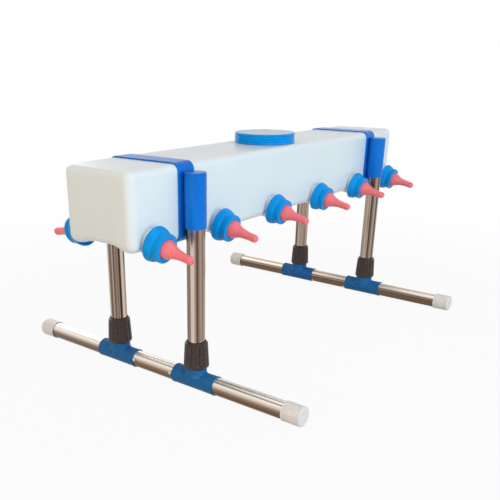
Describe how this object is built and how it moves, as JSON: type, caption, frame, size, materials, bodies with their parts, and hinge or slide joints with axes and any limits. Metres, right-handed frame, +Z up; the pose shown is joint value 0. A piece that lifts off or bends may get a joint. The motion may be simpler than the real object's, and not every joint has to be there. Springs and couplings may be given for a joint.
{
  "type": "teat milk feeder",
  "caption": "Long plastic milk tank with screw-on rubber teats along both sides, strapped to two chrome tube frames that stand on the floor.",
  "frame": {"origin": "on the floor, under the middle of the tank", "axes": "+X along the tank, +Y to the back row of teats, +Z up"},
  "size_m": [0.957, 0.6464, 0.4218],
  "materials": {
    "milky_plastic": "translucent, softly glossy, moulded",
    "white_plastic": "smooth, slightly translucent",
    "blue_paint": "glossy powder coat on steel",
    "blue_plastic": "moulded, satin",
    "blue_fitting": "moulded, matt",
    "pink_rubber": "soft, matt",
    "brown_plastic": "moulded, ribbed, satin",
    "chrome": "polished tube",
    "steel": "zinc plated screw"
  },
  "bodies": {
    "tank_assembly": {"tank": "milky_plastic", "strap_left": "blue_paint", "sleeve_left_front": "blue_paint", "sleeve_lid_left_front": "blue_paint", "sleeve_left_back": "blue_paint", "sleeve_lid_left_back": "blue_paint", "strap_right": "blue_paint", "sleeve_right_front": "blue_paint", "sleeve_lid_right_front": "blue_paint", "sleeve_right_back": "blue_paint", "sleeve_lid_right_back": "blue_paint"},
    "frame_left": {"base_tube_left": "chrome", "tee_left_front": "blue_fitting", "leg_left_front": "chrome", "end_cap_left_front": "white_plastic", "stop_screw_left_front": "steel", "tee_left_back": "blue_fitting", "leg_left_back": "chrome", "end_cap_left_back": "white_plastic", "stop_screw_left_back": "steel"},
    "frame_right": {"base_tube_right": "chrome", "tee_right_front": "blue_fitting", "leg_right_front": "chrome", "end_cap_right_front": "white_plastic", "stop_screw_right_front": "steel", "tee_right_back": "blue_fitting", "leg_right_back": "chrome", "end_cap_right_back": "white_plastic", "stop_screw_right_back": "steel"},
    "filler_disc": {"filler_disc": "white_plastic"},
    "filler_ring": {"filler_ring": "blue_plastic"},
    "lock_collar_left_front": {"lock_collar_left_front": "brown_plastic"},
    "lock_collar_left_back": {"lock_collar_left_back": "brown_plastic"},
    "lock_collar_right_front": {"lock_collar_right_front": "brown_plastic"},
    "lock_collar_right_back": {"lock_collar_right_back": "brown_plastic"},
    "teat_front_1": {"teat_front_1": "pink_rubber"},
    "teat_cap_front_1": {"teat_cap_front_1": "blue_plastic"},
    "teat_front_2": {"teat_front_2": "pink_rubber"},
    "teat_cap_front_2": {"teat_cap_front_2": "blue_plastic"},
    "teat_front_3": {"teat_front_3": "pink_rubber"},
    "teat_cap_front_3": {"teat_cap_front_3": "blue_plastic"},
    "teat_front_4": {"teat_front_4": "pink_rubber"},
    "teat_cap_front_4": {"teat_cap_front_4": "blue_plastic"},
    "teat_front_5": {"teat_front_5": "pink_rubber"},
    "teat_cap_front_5": {"teat_cap_front_5": "blue_plastic"},
    "teat_front_6": {"teat_front_6": "pink_rubber"},
    "teat_cap_front_6": {"teat_cap_front_6": "blue_plastic"},
    "teat_back_1": {"teat_back_1": "pink_rubber"},
    "teat_cap_back_1": {"teat_cap_back_1": "blue_plastic"},
    "teat_back_2": {"teat_back_2": "pink_rubber"},
    "teat_cap_back_2": {"teat_cap_back_2": "blue_plastic"},
    "teat_back_3": {"teat_back_3": "pink_rubber"},
    "teat_cap_back_3": {"teat_cap_back_3": "blue_plastic"},
    "teat_back_4": {"teat_back_4": "pink_rubber"},
    "teat_cap_back_4": {"teat_cap_back_4": "blue_plastic"},
    "teat_back_5": {"teat_back_5": "pink_rubber"},
    "teat_cap_back_5": {"teat_cap_back_5": "blue_plastic"},
    "teat_back_6": {"teat_back_6": "pink_rubber"},
    "teat_cap_back_6": {"teat_cap_back_6": "blue_plastic"}
  },
  "joints": [
    {"name": "tank_lift", "type": "slide", "parent": "frame_left", "child": "tank_assembly", "axis": [0, 0, 1], "range_m": [0, 0.08]},
    {"name": "right_frame_slide", "type": "slide", "parent": "tank_assembly", "child": "frame_right", "axis": [0, 0, -1], "range_m": [0, 0.0801]},
    {"name": "collar_turn_left_front", "type": "hinge", "parent": "frame_left", "child": "lock_collar_left_front", "pos_m": [-0.3486, -0.0971, 0.07], "axis": [0, 0, 1], "range_deg": [0, 180]},
    {"name": "collar_turn_left_back", "type": "hinge", "parent": "frame_left", "child": "lock_collar_left_back", "pos_m": [-0.3486, 0.0971, 0.07], "axis": [0, 0, 1], "range_deg": [0, 180]},
    {"name": "collar_turn_right_front", "type": "hinge", "parent": "frame_right", "child": "lock_collar_right_front", "pos_m": [0.3486, -0.0971, 0.07], "axis": [0, 0, 1], "range_deg": [0, 180]},
    {"name": "collar_turn_right_back", "type": "hinge", "parent": "frame_right", "child": "lock_collar_right_back", "pos_m": [0.3486, 0.0971, 0.07], "axis": [0, 0, 1], "range_deg": [0, 180]},
    {"name": "disc_lift", "type": "slide", "parent": "tank_assembly", "child": "filler_disc", "axis": [0, 0, 1], "range_m": [0, 0.012]},
    {"name": "ring_turn", "type": "hinge", "parent": "filler_disc", "child": "filler_ring", "pos_m": [0, 0, 0.41], "axis": [0, 0, 1], "range_deg": [0, 721]},
    {"name": "teat_slide_front_1", "type": "slide", "parent": "tank_assembly", "child": "teat_front_1", "axis": [0, -0.9781, -0.2079], "range_m": [0, 0.012]},
    {"name": "cap_turn_front_1", "type": "hinge", "parent": "teat_front_1", "child": "teat_cap_front_1", "pos_m": [-0.4332, -0.0822, 0.2866], "axis": [0, -0.9781, -0.2079], "range_deg": [0, 721]},
    {"name": "teat_slide_front_2", "type": "slide", "parent": "tank_assembly", "child": "teat_front_2", "axis": [0, -0.9781, -0.2079], "range_m": [0, 0.012]},
    {"name": "cap_turn_front_2", "type": "hinge", "parent": "teat_front_2", "child": "teat_cap_front_2", "pos_m": [-0.2576, -0.0822, 0.2866], "axis": [0, -0.9781, -0.2079], "range_deg": [0, 721]},
    {"name": "teat_slide_front_3", "type": "slide", "parent": "tank_assembly", "child": "teat_front_3", "axis": [0, -0.9781, -0.2079], "range_m": [0, 0.012]},
    {"name": "cap_turn_front_3", "type": "hinge", "parent": "teat_front_3", "child": "teat_cap_front_3", "pos_m": [-0.082, -0.0822, 0.2866], "axis": [0, -0.9781, -0.2079], "range_deg": [0, 721]},
    {"name": "teat_slide_front_4", "type": "slide", "parent": "tank_assembly", "child": "teat_front_4", "axis": [0, -0.9781, -0.2079], "range_m": [0, 0.012]},
    {"name": "cap_turn_front_4", "type": "hinge", "parent": "teat_front_4", "child": "teat_cap_front_4", "pos_m": [0.0936, -0.0822, 0.2866], "axis": [0, -0.9781, -0.2079], "range_deg": [0, 721]},
    {"name": "teat_slide_front_5", "type": "slide", "parent": "tank_assembly", "child": "teat_front_5", "axis": [0, -0.9781, -0.2079], "range_m": [0, 0.012]},
    {"name": "cap_turn_front_5", "type": "hinge", "parent": "teat_front_5", "child": "teat_cap_front_5", "pos_m": [0.2692, -0.0822, 0.2866], "axis": [0, -0.9781, -0.2079], "range_deg": [0, 721]},
    {"name": "teat_slide_front_6", "type": "slide", "parent": "tank_assembly", "child": "teat_front_6", "axis": [0, -0.9781, -0.2079], "range_m": [0, 0.012]},
    {"name": "cap_turn_front_6", "type": "hinge", "parent": "teat_front_6", "child": "teat_cap_front_6", "pos_m": [0.4448, -0.0822, 0.2866], "axis": [0, -0.9781, -0.2079], "range_deg": [0, 721]},
    {"name": "teat_slide_back_1", "type": "slide", "parent": "tank_assembly", "child": "teat_back_1", "axis": [0, 0.9781, -0.2079], "range_m": [0, 0.012]},
    {"name": "cap_turn_back_1", "type": "hinge", "parent": "teat_back_1", "child": "teat_cap_back_1", "pos_m": [-0.4332, 0.0822, 0.2866], "axis": [0, 0.9781, -0.2079], "range_deg": [0, 721]},
    {"name": "teat_slide_back_2", "type": "slide", "parent": "tank_assembly", "child": "teat_back_2", "axis": [0, 0.9781, -0.2079], "range_m": [0, 0.012]},
    {"name": "cap_turn_back_2", "type": "hinge", "parent": "teat_back_2", "child": "teat_cap_back_2", "pos_m": [-0.2576, 0.0822, 0.2866], "axis": [0, 0.9781, -0.2079], "range_deg": [0, 721]},
    {"name": "teat_slide_back_3", "type": "slide", "parent": "tank_assembly", "child": "teat_back_3", "axis": [0, 0.9781, -0.2079], "range_m": [0, 0.012]},
    {"name": "cap_turn_back_3", "type": "hinge", "parent": "teat_back_3", "child": "teat_cap_back_3", "pos_m": [-0.082, 0.0822, 0.2866], "axis": [0, 0.9781, -0.2079], "range_deg": [0, 721]},
    {"name": "teat_slide_back_4", "type": "slide", "parent": "tank_assembly", "child": "teat_back_4", "axis": [0, 0.9781, -0.2079], "range_m": [0, 0.012]},
    {"name": "cap_turn_back_4", "type": "hinge", "parent": "teat_back_4", "child": "teat_cap_back_4", "pos_m": [0.0936, 0.0822, 0.2866], "axis": [0, 0.9781, -0.2079], "range_deg": [0, 721]},
    {"name": "teat_slide_back_5", "type": "slide", "parent": "tank_assembly", "child": "teat_back_5", "axis": [0, 0.9781, -0.2079], "range_m": [0, 0.012]},
    {"name": "cap_turn_back_5", "type": "hinge", "parent": "teat_back_5", "child": "teat_cap_back_5", "pos_m": [0.2692, 0.0822, 0.2866], "axis": [0, 0.9781, -0.2079], "range_deg": [0, 721]},
    {"name": "teat_slide_back_6", "type": "slide", "parent": "tank_assembly", "child": "teat_back_6", "axis": [0, 0.9781, -0.2079], "range_m": [0, 0.012]},
    {"name": "cap_turn_back_6", "type": "hinge", "parent": "teat_back_6", "child": "teat_cap_back_6", "pos_m": [0.4448, 0.0822, 0.2866], "axis": [0, 0.9781, -0.2079], "range_deg": [0, 721]}
  ],
  "couplings": [
    {"joint": "right_frame_slide", "follows": "tank_lift", "ratio": 1},
    {"joint": "ring_turn", "follows": "disc_lift", "rad_per_m": 1047.2},
    {"joint": "cap_turn_front_1", "follows": "teat_slide_front_1", "rad_per_m": 1047.2},
    {"joint": "cap_turn_front_2", "follows": "teat_slide_front_2", "rad_per_m": 1047.2},
    {"joint": "cap_turn_front_3", "follows": "teat_slide_front_3", "rad_per_m": 1047.2},
    {"joint": "cap_turn_front_4", "follows": "teat_slide_front_4", "rad_per_m": 1047.2},
    {"joint": "cap_turn_front_5", "follows": "teat_slide_front_5", "rad_per_m": 1047.2},
    {"joint": "cap_turn_front_6", "follows": "teat_slide_front_6", "rad_per_m": 1047.2},
    {"joint": "cap_turn_back_1", "follows": "teat_slide_back_1", "rad_per_m": 1047.2},
    {"joint": "cap_turn_back_2", "follows": "teat_slide_back_2", "rad_per_m": 1047.2},
    {"joint": "cap_turn_back_3", "follows": "teat_slide_back_3", "rad_per_m": 1047.2},
    {"joint": "cap_turn_back_4", "follows": "teat_slide_back_4", "rad_per_m": 1047.2},
    {"joint": "cap_turn_back_5", "follows": "teat_slide_back_5", "rad_per_m": 1047.2},
    {"joint": "cap_turn_back_6", "follows": "teat_slide_back_6", "rad_per_m": 1047.2}
  ]
}
